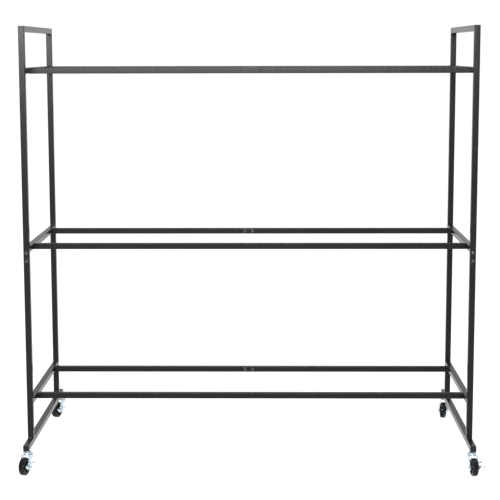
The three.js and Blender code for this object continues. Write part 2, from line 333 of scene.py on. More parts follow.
def powder_coat(colours):
    """Semi-gloss black powder coat: a fine orange peel, with a faint cloudiness in its gloss."""

    def varying(nodes, place):
        peel = nodes.noise(place, 900, detail=1)
        grit = nodes.noise(place, 2600, detail=2)
        cloud = nodes.noise(place, 5, detail=3)
        dust = nodes.spread(nodes.noise(place, 55, detail=4, roughness=0.7), 0.52, 0.80)
        colour = nodes.mix(cloud, shade(colours.coat, 0.85), shade(colours.coat, 1.2))
        return {
            "Base Color": nodes.mix(dust * 0.3, colour, shade(colours.coat, 2.0)),
            "Roughness": 0.22 + 0.05 * cloud + 0.06 * dust,
            "Normal": bump(nodes, peel * 0.8 + grit * 0.2, 0.22, 0.00006),
        }

    return finish("black_powder_coat", varying, {"Specular IOR Level": 0.15})


def zinc_plate(colours):
    """Bright zinc with a bluish cast, a faint spangle and fine marks."""
    cast = (0.50, 0.61, 0.69)

    def varying(nodes, place):
        cells = nodes.add("ShaderNodeTexVoronoi", {}, {"Vector": place, "Scale": 420}, "Color")
        spangle = nodes.add("ShaderNodeSeparateColor", {}, {0: cells})
        cloud = nodes.noise(place, 60, detail=3)
        marks = nodes.noise(place, 1500, detail=2)
        tone = nodes.mix(spangle, shade(colours.zinc, 0.9), shade(colours.zinc, 1.06))
        return {
            "Base Color": nodes.mix(nodes.spread(cloud, 0.35, 0.7), tone, cast),
            "Roughness": 0.22 + 0.10 * cloud + 0.06 * spangle,
            "Normal": bump(nodes, marks * 0.6 + spangle * 0.4, 0.12, 0.00004),
        }

    return finish("bright_zinc", varying, {"Metallic": 1})


def tyre_rubber(colours):
    """Polished black tyre with a fine grain and a little dust."""

    def varying(nodes, place):
        grain = nodes.noise(place, 1100, detail=3)
        scuff = nodes.spread(nodes.noise(place, 130, detail=4, roughness=0.65), 0.5, 0.8)
        return {
            "Base Color": nodes.mix(scuff * 0.5, colours.rubber, shade(colours.rubber, 2.2)),
            "Roughness": 0.15 + 0.2 * scuff,
            "Normal": bump(nodes, grain, 0.18, 0.00005),
        }

    return finish("black_tyre", varying, {"Specular IOR Level": 0.16})


def moulded_plastic(colours):
    """Black moulded plastic with a fine spark-eroded grain."""

    def varying(nodes, place):
        grain = nodes.noise(place, 1900, detail=2)
        cloud = nodes.noise(place, 90, detail=2)
        return {
            "Base Color": nodes.mix(cloud, shade(colours.plastic, 0.8), shade(colours.plastic, 1.5)),
            "Roughness": 0.30 + 0.12 * cloud,
            "Normal": bump(nodes, grain, 0.3, 0.00005),
        }

    return finish("black_plastic", varying, {"Specular IOR Level": 0.2})


def black_oxide(colours):
    """Oiled black oxide on steel: dark metal, brighter where it is rubbed."""

    def varying(nodes, place):
        rub = nodes.spread(nodes.noise(place, 380, detail=3), 0.45, 0.75)
        grain = nodes.noise(place, 2400, detail=1)
        return {
            "Base Color": nodes.mix(rub * 0.6, colours.oxide, shade(colours.oxide, 1.9)),
            "Roughness": 0.14 + 0.10 * rub,
            "Normal": bump(nodes, grain, 0.1, 0.00004),
        }

    return finish("black_oxide", varying, {"Metallic": 1})


FINISHES = {
    "powder_coat": powder_coat,
    "zinc": zinc_plate,
    "black_rubber": tyre_rubber,
    "black_plastic": moulded_plastic,
    "black_oxide": black_oxide,
}


def finish_named(name):
    """The finish of that name, made the first time that it is asked for."""
    made = bpy.context.scene.get("rack_made_finishes", {})
    if name in made:
        return bpy.data.materials[made[name]]
    material = FINISHES[name](bpy.context.scene.rack_finishes)
    bpy.context.scene["rack_made_finishes"] = {**dict(made), name: material.name}
    return material


# ------------------------------------------------------------------ shapes


def box_mm(node):
    """A node's lowest and highest corners, in millimetres."""
    low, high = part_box(node)
    return low / MM, high / MM


def stand(direction, point=(0, 0, 0)):
    """Turns +Z to a direction and moves the origin to a point."""
    turn = Vector(direction).to_track_quat("Z", "Y").to_matrix().to_4x4()
    return Matrix.Translation(Vector(point)) @ turn


def put_in(piece, shape, place=None):
    """Adds a finished shape to a piece, in its place."""
    if place is not None:
        shape.transform(place)
    scratch = bpy.data.meshes.new("scratch")
    shape.to_mesh(scratch)
    shape.free()
    piece.from_mesh(scratch)
    bpy.data.meshes.remove(scratch)


def soften(mesh, width, segments=2, above=35):
    """Rounds over every edge that is sharper than an angle."""
    sharp = [
        edge for edge in mesh.edges
        if len(edge.link_faces) == 2 and edge.calc_face_angle() > math.radians(above)
    ]
    bmesh.ops.bevel(
        mesh, geom=sharp, offset=width, offset_type="OFFSET", segments=segments, profile=0.5,
        affect="EDGES", clamp_overlap=True, material=-1,
    )


def round_corners(mesh, corners, cut, segments=5):
    """Rounds corners of a flat outline, each starting at a distance from the corner."""
    bmesh.ops.bevel(
        mesh, geom=corners, offset=cut, offset_type="OFFSET", segments=segments, profile=0.5,
        affect="VERTICES", material=-1,
    )


def pull(mesh, faces, distance, scale=1):
    """Extrudes faces up Z, scales the new end about the axis, and gives its faces."""
    edges = {edge for face in faces for edge in face.edges}
    made = bmesh.ops.extrude_face_region(mesh, geom=[*faces, *edges])["geom"]
    points = [part for part in made if isinstance(part, bmesh.types.BMVert)]
    bmesh.ops.scale(mesh, vec=(scale, scale, 1), verts=points)
    bmesh.ops.translate(mesh, vec=(0, 0, distance), verts=points)
    return [part for part in made if isinstance(part, bmesh.types.BMFace)]


def turned(profile, steps=32):
    """A closed shape turned about Z from a profile of (radius, height) points."""
    mesh = bmesh.new()
    points = [mesh.verts.new((radius, 0, height)) for radius, height in profile]
    for first, second in zip(points, points[1:]):
        mesh.edges.new((first, second))
    bmesh.ops.spin(
        mesh, geom=mesh.verts[:] + mesh.edges[:], cent=(0, 0, 0), axis=Z, dvec=(0, 0, 0),
        angle=2 * math.pi, steps=steps, use_merge=True,
    )
    bmesh.ops.remove_doubles(mesh, verts=mesh.verts[:], dist=TINY / 10)
    bmesh.ops.recalc_face_normals(mesh, faces=mesh.faces[:])
    return mesh


def arc(centre, radius, start, stop, steps):
    """Points round an arc, in degrees, ends included."""
    angles = [math.radians(start + (stop - start) * step / steps) for step in range(steps + 1)]
    return [(centre[0] + radius * math.cos(angle), centre[1] + radius * math.sin(angle)) for angle in angles]


def square_face(size, corner, steps):
    """A flat square with round corners, centred on the origin."""
    mesh = bmesh.new()
    bmesh.ops.create_grid(mesh, x_segments=1, y_segments=1, size=size / 2)
    round_corners(mesh, mesh.verts[:], corner, steps)
    return mesh


def square_bar(size, corner, length, steps=5, lip=0.4):
    """A solid bar with rounded corners, from the origin up Z."""
    mesh = square_face(size, corner, steps)
    pull(mesh, mesh.faces[:], length)
    bmesh.ops.recalc_face_normals(mesh, faces=mesh.faces[:])
    soften(mesh, lip)
    return mesh


def square_tube(sizes, length):
    """A square tube from the origin up Z, and the faces of its far end."""
    mesh = square_face(sizes.size / MM, sizes.corner / MM, sizes.corner_steps)
    bmesh.ops.inset_region(
        mesh, faces=mesh.faces[:], thickness=sizes.wall / MM, use_boundary=True, use_even_offset=True
    )
    middle = max(mesh.faces, key=lambda face: len(face.verts))
    bmesh.ops.delete(mesh, geom=[middle], context="FACES")
    return mesh, pull(mesh, mesh.faces[:], length)


def mitre(mesh, point, along, across):
    """Slopes the tube's end at a point by 45 degrees, longer on the side that across names."""
    ends = [corner for corner in mesh.verts if abs((corner.co - point).dot(along)) < TINY]
    slope = Matrix.Identity(4)
    for row in range(3):
        for column in range(3):
            slope[row][column] += along[row] * across[column]
    about = Matrix.Translation(point)
    bmesh.ops.transform(mesh, matrix=about @ slope @ about.inverted(), verts=ends)


def finish_tube(mesh, sizes):
    bmesh.ops.recalc_face_normals(mesh, faces=mesh.faces[:])
    soften(mesh, sizes.lip / MM)


def faces_in_plane(mesh, point, normal):
    """The faces that lie in the plane through a point."""
    return [
        face for face in mesh.faces
        if abs(face.normal.dot(normal)) > 0.999
        and abs((face.calc_center_median() - point).dot(normal)) < 0.05
    ]


def punch(mesh, point, outward, radius, steps=6):
    """Opens a round hole in the flat face at a point, facing along an axis, and gives its rim's edges."""
    point = Vector(point)
    right = outward.yzx
    up = outward.cross(right)
    reach = 1.35 * radius
    for direction in (right, -right, up, -up):
        faces = faces_in_plane(mesh, point, outward)
        edges = {edge for face in faces for edge in face.edges}
        corners = {corner for face in faces for corner in face.verts}
        bmesh.ops.bisect_plane(
            mesh, geom=[*faces, *edges, *corners], dist=0.0001,
            plane_co=point + direction * reach, plane_no=direction,
        )
    faces = faces_in_plane(mesh, point, outward)
    patch = min(faces, key=lambda face: (face.calc_center_median() - point).length)
    bmesh.ops.subdivide_edges(mesh, edges=patch.edges[:], cuts=steps - 1)
    bmesh.ops.inset_region(mesh, faces=[patch], thickness=0.2 * radius)
    for corner in patch.verts:
        corner.co = point + (corner.co - point).normalized() * radius
    rim = patch.edges[:]
    bmesh.ops.delete(mesh, geom=[patch], context="FACES_ONLY")
    return rim


def drill(mesh, point, outward, radius, wall):
    """Drills a round hole through one wall of a tube."""
    punch(mesh, Vector(point) - outward * wall, outward, radius)
    rim = punch(mesh, point, outward, radius)
    run_out(mesh, rim, -outward * wall)
    bmesh.ops.remove_doubles(mesh, verts=mesh.verts[:], dist=TINY)


def weld_bead(length, radius):
    """A bead of weld along Z, rippled, with rounded ends."""
    ripples = max(4, round(length / 1.8))
    steps = 4 * ripples
    profile = [(0, -length / 2)]
    for step in range(steps + 1):
        share = step / steps
        ripple = 1 + 0.035 * math.cos(2 * math.pi * ripples * share)
        fade = min(1, math.sqrt(min(share, 1 - share) * length / radius) + 0.25)
        profile.append((radius * ripple * fade, length * (share - 0.5)))
    profile.append((0, length / 2))
    return turned(profile, 10)


def hexagon(across_flats, height, chamfer=0.5):
    """A hexagon collar or nut, from the origin up Z."""
    mesh = bmesh.new()
    radius = across_flats / math.sqrt(3)
    bmesh.ops.create_cone(
        mesh, cap_ends=True, cap_tris=False, segments=6, radius1=radius, radius2=radius, depth=height,
        matrix=Matrix.Translation((0, 0, height / 2)),
    )
    soften(mesh, chamfer, 3)
    return mesh


def washer(inner, outer, thickness):
    mesh = turned([(inner, 0), (outer, 0), (outer, thickness), (inner, thickness), (inner, 0)], 36)
    soften(mesh, 0.28 * thickness)
    return mesh


def new_piece(name, shape, look, body, nodes=()):
    """Makes an object of a shape drawn in millimetres. It rides on a body and stands for CAD nodes."""
    shape.normal_update()
    bmesh.ops.recalc_face_normals(shape, faces=shape.faces[:])
    shape.transform(Matrix.Scale(MM, 4))
    data = bpy.data.meshes.new(name)
    shape.to_mesh(data)
    shape.free()
    data.polygons.foreach_set("use_smooth", [True] * len(data.polygons))
    data.set_sharp_from_angle(angle=math.radians(32))
    data.materials.append(finish_named(look))
    piece = bpy.data.objects.new(name, data)
    bpy.context.scene.collection.objects.link(piece)
    even = piece.modifiers.new("even_shading", "WEIGHTED_NORMAL")
    even.keep_sharp = True
    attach(piece, body)
    if nodes:
        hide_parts(*nodes)
    return piece


# ------------------------------------------------------------------ end frames and rails


def tube_between(sizes, start, stop):
    """A tube from one point to another, its cut edges still sharp."""
    run = stop - start
    mesh, _ = square_tube(sizes, run.length)
    mesh.transform(stand(run, start))
    return mesh


def middle_line(node, along):
    """Where a node's middle line starts and stops, along a direction."""
    low, high = box_mm(node)
    middle = (low + high) / 2
    half = abs((high - low).dot(along)) / 2
    return middle - along * half, middle + along * half


def bead_across(piece, sizes, point, along):
    """A weld bead across the flat of a tube."""
    flat = (sizes.size - 2 * sizes.corner) / MM
    put_in(piece, weld_bead(flat, sizes.bead / MM), stand(along, point))


class RACK_OT_end_frame_bars(bpy.types.Operator):
    """Base bars, cross bars and top bars of the two end frames"""

    bl_idname = "rack.end_frame_bars"
    bl_label = "Bars of the End Frames"

    def execute(self, context):
        sizes = context.scene.rack_tubes
        half = sizes.size / MM / 2
        for side in SIDES:
            self.base_bar(sizes, f"{side}_base_bar", side)
            for level in LEVELS:
                self.cross_bar(sizes, side, level, half)
            self.top_bar(sizes, f"{side}_top_bar", half)
        return {"FINISHED"}

    def base_bar(self, sizes, node, side):
        start, stop = middle_line(node, Y)
        piece = tube_between(sizes, start, stop)
        finish_tube(piece, sizes)
        for end in ENDS:
            stem = castor_place(side, end).translation
            under = Vector((stem.x, stem.y, start.z - sizes.size / MM / 2))
            drill(piece, under, -Z, STEM_RADIUS + HOLE_CLEARANCE, sizes.wall / MM)
            nut = hexagon(STEM_NUT_ACROSS_FLATS, STEM_NUT_HEIGHT)
            put_in(piece, nut, Matrix.Translation(under + Z * sizes.wall / MM))
        new_piece(f"{node}_tube", piece, "powder_coat", "frame", [node])

    def cross_bar(self, sizes, side, level, half):
        node = f"{side}_{level}_cross_bar"
        start, stop = middle_line(node, Y)
        piece = tube_between(sizes, start - Y * JOINT_GAP, stop + Y * JOINT_GAP)
        finish_tube(piece, sizes)
        for place in rail_end_places(side, level):
            for face in (SIDES[side], -SIDES[side]):
                drill(piece, place + face * half, face, BOLT_HOLE_RADIUS, sizes.wall / MM)
        for end in (start, stop):
            for rise in (half, -half):
                bead_across(piece, sizes, end + Z * rise, X)
        new_piece(f"{node}_tube", piece, "powder_coat", "frame", [node])

    def top_bar(self, sizes, node, half):
        start, stop = middle_line(node, Y)
        start += Y * half
        stop -= Y * half
        piece = tube_between(sizes, start, stop)
        mitre(piece, start, Y, -Z)
        mitre(piece, stop, Y, Z)
        finish_tube(piece, sizes)
        for end, inward in ((start, Y), (stop, -Y)):
            bead_across(piece, sizes, end + inward * half - Z * half, X)
        new_piece(f"{node}_tube", piece, "powder_coat", "frame", [node])


def spigot_tube(sizes, start, seam, spigot):
    """A tube whose far end is reduced to slip inside the next one."""
    run = seam - start
    mesh, end = square_tube(sizes, run.length - SHOULDER_LENGTH)
    end = pull(mesh, end, SHOULDER_LENGTH, SPIGOT_SHARE)
    pull(mesh, end, spigot)
    mesh.transform(stand(run, start))
    finish_tube(mesh, sizes)
    return mesh


def joint_holes(piece, sizes, seam, along, face):
    """Drills the outer tube of a joint for its bolts."""
    half = sizes.size / MM / 2
    for place in JOINT_BOLTS:
        drill(piece, seam + along * place + face * half, face, BOLT_HOLE_RADIUS, sizes.wall / MM)


def joint_nuts(piece, sizes, seam, along, face):
    """Puts the nuts of a joint's bolts inside its spigot."""
    depth = sizes.size / MM / 2 - WELD_NUT_DEPTH
    for place in JOINT_BOLTS:
        nut = hexagon(2 * WELD_NUT_RADIUS * math.cos(math.pi / 6), WELD_NUT_HEIGHT)
        put_in(piece, nut, stand(-face, seam + along * place + face * depth))


class RACK_OT_uprights(bpy.types.Operator):
    """The upper and lower halves of the four uprights"""

    bl_idname = "rack.uprights"
    bl_label = "Uprights"

    def execute(self, context):
        sizes = context.scene.rack_tubes
        half = sizes.size / MM / 2
        for side, end in CORNERS:
            seam, top = middle_line(f"{side}_{end}_upper_upright", Z)
            self.upper(sizes, f"{side}_{end}_upper_upright", seam, top - Z * half, ENDS[end])
            self.lower(sizes, f"{side}_{end}_lower_upright", seam, half, ENDS[end])
        return {"FINISHED"}

    def upper(self, sizes, node, seam, corner, outward):
        piece = tube_between(sizes, seam, corner)
        mitre(piece, corner, Z, outward)
        finish_tube(piece, sizes)
        joint_holes(piece, sizes, seam, Z, outward)
        new_piece(f"{node}_tube", piece, "powder_coat", "frame", [node])

    def lower(self, sizes, node, seam, half, outward):
        foot, tip = middle_line(node, Z)
        start = foot - Z * JOINT_GAP
        piece = spigot_tube(sizes, start, seam - Z * JOINT_GAP, tip.z - seam.z)
        for direction in (Y, -Y):
            bead_across(piece, sizes, start + direction * half, X)
        joint_nuts(piece, sizes, seam, Z, outward)
        new_piece(f"{node}_tube", piece, "powder_coat", "frame", [node])


def rail_end_places(side, level):
    """Where the rails of a level meet the middle line of a cross bar."""
    bar, _ = middle_line(f"{side}_{level}_cross_bar", Y)
    rails = [middle_line(f"{level}_{end}_rail_sleeve", X) for end in ENDS]
    return [Vector((bar.x, rail[0].y, bar.z)) for rail in rails]


def rail_seam(level, end):
    """The seam of a rail on its middle line, and the way that its sleeve runs from there."""
    sleeve = middle_line(f"{level}_{end}_rail_sleeve", X)
    spigot = middle_line(f"{level}_{end}_rail_spigot", X)
    if sleeve[1].x > spigot[1].x:
        return sleeve[0], X
    return sleeve[1], -X


class RACK_OT_rails(bpy.types.Operator):
    """The six rails, each in two halves with a plug in its outer end"""

    bl_idname = "rack.rails"
    bl_label = "Rails"

    def execute(self, context):
        sizes = context.scene.rack_tubes
        for level in LEVELS:
            for end in ENDS:
                seam, along = rail_seam(level, end)
                self.sleeve(sizes, f"{level}_{end}_rail_sleeve", seam, along, -ENDS[end])
                self.spigot(sizes, f"{level}_{end}_rail_spigot", seam, along, -ENDS[end])
        return {"FINISHED"}

    def sleeve(self, sizes, node, seam, along, inner):
        reach = max((place - seam).dot(along) for place in middle_line(node, X))
        tip = seam + along * (reach + JOINT_GAP)
        piece = tube_between(sizes, seam, tip)
        finish_tube(piece, sizes)
        joint_holes(piece, sizes, seam, along, inner)
        self.end_plug(piece, sizes, tip, -along)
        new_piece(f"{node}_tube", piece, "powder_coat", "frame", [node])

    def spigot(self, sizes, node, seam, along, inner):
        places = [(place - seam).dot(along) for place in middle_line(node, X)]
        tip = seam + along * (min(places) - JOINT_GAP)
        piece = spigot_tube(sizes, tip, seam - along * JOINT_GAP, max(places))
        joint_nuts(piece, sizes, seam, along, inner)
        self.end_plug(piece, sizes, tip, along)
        new_piece(f"{node}_tube", piece, "powder_coat", "frame", [node])

    def end_plug(self, piece, sizes, tip, inward):
        bore = (sizes.size - 2 * sizes.wall) / MM
        plug = square_bar(bore, (sizes.corner - sizes.wall) / MM, END_PLUG_LENGTH)
        put_in(piece, plug, stand(inward, tip + inward * END_PLUG_RECESS))


# ------------------------------------------------------------------ fasteners and caps


def domed_bolt(sizes, length):
    """A domed bolt with a hexagon socket, its head's underside at the origin and its shank down -Z."""
    head, dome, shank, socket = (part / MM for part in (sizes.head, sizes.dome, sizes.shank, sizes.socket))
    rim = 0.7
    socket_ring = 1.22 * socket
    crown = [
        (head * math.cos(angle), rim + (dome - rim) * math.sin(angle))
        for angle in (math.radians(step * 10) for step in range(8))
    ]
    crown = [point for point in crown if point[0] > socket_ring + 0.3]
    profile = [
        (0, -length), (shank - 0.6, -length), (shank, -length + 0.6), (shank, 0), (head, 0), *crown,
        (socket_ring, dome - 0.05), (socket_ring, dome - 2), (0, dome - 2.5),
    ]
    mesh = turned(profile, 24)
    for corner in mesh.verts:
        if abs(corner.co.xy.length - socket_ring) < TINY:
            sixth = math.pi / 3
            around = math.atan2(corner.co.y, corner.co.x) % sixth - sixth / 2
            corner.co.xy *= socket / math.cos(around) / socket_ring
    soften(mesh, 0.15, 1, 50)
    return mesh


def bolt_in(piece, sizes, point, outward, length):
    """A washer on a face, and a bolt through it."""
    ring = washer(sizes.shank / MM + 0.3, sizes.washer / MM, WASHER_THICKNESS)
    put_in(piece, ring, stand(outward, point))
    put_in(piece, domed_bolt(sizes, length), stand(outward, point + outward * WASHER_THICKNESS))


class RACK_OT_joint_bolts(bpy.types.Operator):
    """Bolts and washers of the joints in the uprights and the rails"""

    bl_idname = "rack.joint_bolts"
    bl_label = "Joint Bolts"

    def execute(self, context):
        sizes = context.scene.rack_fasteners
        half = context.scene.rack_tubes.size / MM / 2
        for side, end in CORNERS:
            seam, _ = middle_line(f"{side}_{end}_upper_upright", Z)
            self.pair(sizes, f"{side}_{end}_upright_bolts", seam, Z, ENDS[end], half)
        for level in LEVELS:
            for end in ENDS:
                seam, along = rail_seam(level, end)
                self.pair(sizes, f"{level}_{end}_rail_bolts", seam, along, -ENDS[end], half)
        return {"FINISHED"}

    def pair(self, sizes, name, seam, along, outward, half):
        piece = bmesh.new()
        for place in JOINT_BOLTS:
            point = seam + along * place + outward * half
            bolt_in(piece, sizes, point, outward, JOINT_BOLT_LENGTH)
        new_piece(name, piece, "black_oxide", "frame")


class RACK_OT_rail_end_bolts(bpy.types.Operator):
    """Bolts that hold the rails' ends to the cross bars"""

    bl_idname = "rack.rail_end_bolts"
    bl_label = "Rail End Bolts"

    def execute(self, context):
        sizes = context.scene.rack_fasteners
        half = context.scene.rack_tubes.size / MM / 2
        for side, outward in SIDES.items():
            for level in LEVELS:
                piece = bmesh.new()
                for place in rail_end_places(side, level):
                    bolt_in(piece, sizes, place + outward * half, outward, RAIL_END_BOLT_LENGTH)
                new_piece(f"{side}_{level}_rail_end_bolts", piece, "black_oxide", "frame")
        return {"FINISHED"}


class RACK_OT_end_caps(bpy.types.Operator):
    """Plastic caps in the ends of the base bars"""

    bl_idname = "rack.end_caps"
    bl_label = "End Caps"

    lip: FloatProperty(name="Lip", description="Thickness of a cap's lip", default=3 * MM, unit="LENGTH")
    plug: FloatProperty(
        name="Plug", description="Length of a cap's plug", default=14 * MM, unit="LENGTH"
    )

    def execute(self, context):
        sizes = context.scene.rack_tubes
        size = sizes.size / MM
        bore = size - 2 * sizes.wall / MM
        for side, end in CORNERS:
            node = f"{side}_{end}_base_end_cap"
            outward = ENDS[end]
            tip = middle_line(node, Y)[1 if outward.y > 0 else 0]
            base = tip - outward * self.lip / MM
            piece = square_bar(size - 0.1, sizes.corner / MM, self.lip / MM, lip=1.1)
            piece.transform(stand(outward, base))
            put_in(piece, square_bar(bore - 1.6, 1.5, self.plug / MM), stand(-outward, base))
            for place in CAP_RIBS:
                rib = square_bar(bore - 0.3, 1.4, 1.2)
                put_in(piece, rib, stand(-outward, base - outward * place))
            new_piece(f"{node}_moulding", piece, "black_plastic", "frame", [node])
        return {"FINISHED"}


# ------------------------------------------------------------------ castors


def joint_named(name):
    return next(joint for joint in frame["joints"] if joint["name"] == name)


def castor_place(side, end):
    """Where a castor's own axes stand: its stem's axis, turned as its axle is at rest."""
    stem = Vector(joint_named(f"castor_{end}_{side}_swivel_turn")["pos_m"]) / MM
    axle = joint_named(f"castor_{end}_{side}_wheel_roll")["axis"]
    return Matrix.Translation((stem.x, stem.y, 0)) @ Matrix.Rotation(math.atan2(axle[1], axle[0]), 4, "Z")


PART_WORDS = {
    "stem": "steel",
    "fork": "pressing",
    "axle": "bolt",
    "tyre": "moulding",
    "wheel_core": "moulding",
    "brake_lever": "pressing",
}


def each_castor(draw, part, look, body):
    """Draws a part for each of the four castors, in its place."""
    for side, end in CORNERS:
        node = f"castor_{end}_{side}_{part}"
        piece = draw()
        piece.transform(castor_place(side, end))
        rides = "frame" if body is None else f"castor_{end}_{side}_{body}"
        new_piece(f"{node}_{PART_WORDS[part]}", piece, look, rides, [node])


class RACK_OT_castor_stems(bpy.types.Operator):
    """Threaded stems with their hexagon collars, ball races and king pins"""

    bl_idname = "rack.castor_stems"
    bl_label = "Castor Stems"

    balls: IntProperty(name="Balls", description="Balls in each race", default=14, min=6)
    pitch: FloatProperty(
        name="Pitch", description="Pitch of the stem's thread", default=1.75 * MM, unit="LENGTH"
    )

    def execute(self, context):
        each_castor(self.shape, "stem", "zinc", None)
        return {"FINISHED"}

    def shape(self):
        piece = self.thread()
        low, high = COLLAR_HEIGHTS
        put_in(piece, hexagon(COLLAR_ACROSS_FLATS, high - low, 0.7), Matrix.Translation((0, 0, low)))
        put_in(piece, self.race())
        put_in(piece, self.king_pin())
        for ball in range(self.balls):
            turn = Matrix.Rotation(2 * math.pi * ball / self.balls, 4, "Z")
            bmesh.ops.create_uvsphere(
                piece, u_segments=12, v_segments=8, radius=BALL_RADIUS,
                matrix=turn @ Matrix.Translation((BALL_RING_RADIUS, 0, BALL_HEIGHT)),
            )
        return piece

    def thread(self):
        low, high = STEM_HEIGHTS
        pitch = self.pitch / MM
        profile = [(0, low - 1), (STEM_RADIUS - 0.8, low - 1)]
        for turn in range(int((high - low) / pitch)):
            profile += [(STEM_RADIUS - 0.9, low + pitch * turn), (STEM_RADIUS, low + pitch * (turn + 0.5))]
        profile += [(STEM_RADIUS - 1.5, high), (0, high)]
        return turned(profile, 24)

    def race(self):
        """The pressed upper race, with a rim turned down over the balls."""
        top = RACE_HEIGHT
        profile = [
            (KING_PIN_RADIUS, top - 2), (KING_PIN_RADIUS, top), *arc((15, top - 2), 2, 90, 0, 4),
            (17, 86.6), (15.8, 86.6), *arc((14.2, top - 3.4), 1.6, 0, 90, 3),
            *arc((BALL_RING_RADIUS, BALL_HEIGHT), 2.6, 60, 120, 4), (KING_PIN_RADIUS, top - 2),
        ]
        race = turned(profile, 48)
        soften(race, 0.25)
        return race

    def king_pin(self):
        head = RIVET_HEIGHT
        profile = [
            (0, head), (5, head), *arc((6.6, head + 1.4), 1.4, 270, 360, 3), (8, head + 3),
            (KING_PIN_RADIUS, head + 3), (KING_PIN_RADIUS, RACE_HEIGHT - 0.5), (0, RACE_HEIGHT - 0.5),
        ]
        return turned(profile, 32)


def outline(corners, x):
    """A flat face across X from corners given as (y, z, how far from the corner its rounding starts)."""
    mesh = bmesh.new()
    points = [mesh.verts.new((x, y, z)) for y, z, _ in corners]
    mesh.faces.new(points)
    for point, (_, _, cut) in zip(points, corners, strict=True):
        if cut:
            round_corners(mesh, [point], cut, 6)
    return mesh


def edges_at(mesh, test):
    """The edges with both ends where a test holds."""
    return [edge for edge in mesh.edges if all(test(corner.co) for corner in edge.verts)]


def bend(mesh, edges, centre, axis, angle, steps=5):
    """Turns a sheet's edge round a bend, and gives the edges where the bend ends."""
    corners = {corner for edge in edges for corner in edge.verts}
    made = bmesh.ops.spin(
        mesh, geom=[*corners, *edges], cent=centre, axis=axis, dvec=(0, 0, 0),
        angle=math.radians(angle), steps=steps, use_merge=False,
    )["geom_last"]
    return [part for part in made if isinstance(part, bmesh.types.BMEdge)]


def run_out(mesh, edges, move):
    """Carries a sheet's edges on in a straight line."""
    made = bmesh.ops.extrude_edge_only(mesh, edges=edges)["geom"]
    corners = [part for part in made if isinstance(part, bmesh.types.BMVert)]
    bmesh.ops.translate(mesh, vec=move, verts=corners)
    return [part for part in made if isinstance(part, bmesh.types.BMEdge)]


def into_sheet(mesh, thickness, towards, edge=0.35):
    """Thickens a pattern towards a point, on the side that its largest face turns to it, and rounds it."""
    bmesh.ops.remove_doubles(mesh, verts=mesh.verts[:], dist=TINY)
    bmesh.ops.recalc_face_normals(mesh, faces=mesh.faces[:])
    largest = max(mesh.faces, key=lambda face: face.calc_area())
    if largest.normal.dot(largest.calc_center_median() - Vector(towards)) < 0:
        bmesh.ops.reverse_faces(mesh, faces=mesh.faces[:])
    bmesh.ops.solidify(mesh, geom=mesh.faces[:], thickness=thickness)
    soften(mesh, edge, 2, 50)


class RACK_OT_forks(bpy.types.Operator):
    """Pressed forks of the castors, with their lower races"""

    bl_idname = "rack.forks"
    bl_label = "Castor Forks"

    bend_radius: FloatProperty(
        name="Bend", description="Outside radius of the bends at the crown",
        default=6 * MM, unit="LENGTH",
    )

    def execute(self, context):
        each_castor(self.shape, "fork", "zinc", "swivel")
        return {"FINISHED"}

    def shape(self):
        radius = self.bend_radius / MM
        shoulder = CROWN_HEIGHT - radius
        leg = [
            (FORK_HALF_LENGTH, shoulder, 0),
            (-FORK_HALF_LENGTH, shoulder, 0),
            (-TRAIL - 20, WHEEL_RADIUS - 12, 13),
            (-TRAIL + 12, WHEEL_RADIUS - 12, 8),
            (-7, 58, 12),
            (FORK_HALF_LENGTH, 69, 2),
        ]
        piece = outline(leg, FORK_HALF_WIDTH)
        bmesh.ops.recalc_face_normals(piece, faces=piece.faces[:])
        punch(piece, (FORK_HALF_WIDTH, -TRAIL, WHEEL_RADIUS), X, AXLE_RADIUS + HOLE_CLEARANCE)
        top = edges_at(piece, lambda point: abs(point.z - shoulder) < TINY)
        centre = (FORK_HALF_WIDTH - radius, 0, shoulder)
        end = bend(piece, top, centre, Y, -90)
        run_out(piece, end, (radius - FORK_HALF_WIDTH, 0, 0))
        whole = [*piece.verts, *piece.edges, *piece.faces]
        bmesh.ops.mirror(piece, geom=whole, axis="X", merge_dist=TINY)
        bmesh.ops.remove_doubles(piece, verts=piece.verts[:], dist=TINY)
        bmesh.ops.recalc_face_normals(piece, faces=piece.faces[:])
        seam = edges_at(piece, lambda point: abs(point.x) < TINY)
        bmesh.ops.dissolve_edges(piece, edges=seam, use_verts=True)
        punch(piece, (0, 0, CROWN_HEIGHT), Z, KING_PIN_RADIUS + HOLE_CLEARANCE)
        into_sheet(piece, SHEET, (0, 0, WHEEL_RADIUS))
        put_in(piece, self.lower_race())
        return piece

    def lower_race(self):
        """The raised ring on the crown that the balls run in."""
        profile = [
            (8.2, CROWN_HEIGHT - 0.2), (14.9, CROWN_HEIGHT - 0.2), (14.9, 85.6),
            *arc((14.3, 85.6), 0.6, 0, 180, 4), (13.7, 84), (9.4, 84), (9.4, 84.5), (8.2, 84.5),
            (8.2, CROWN_HEIGHT - 0.2),
        ]
        return turned(profile, 48)


def on_axle(shape):
    """Lays a shape drawn up Z along the axle, towards +X."""
    shape.transform(stand(X, AXLE_POINT))
    return shape


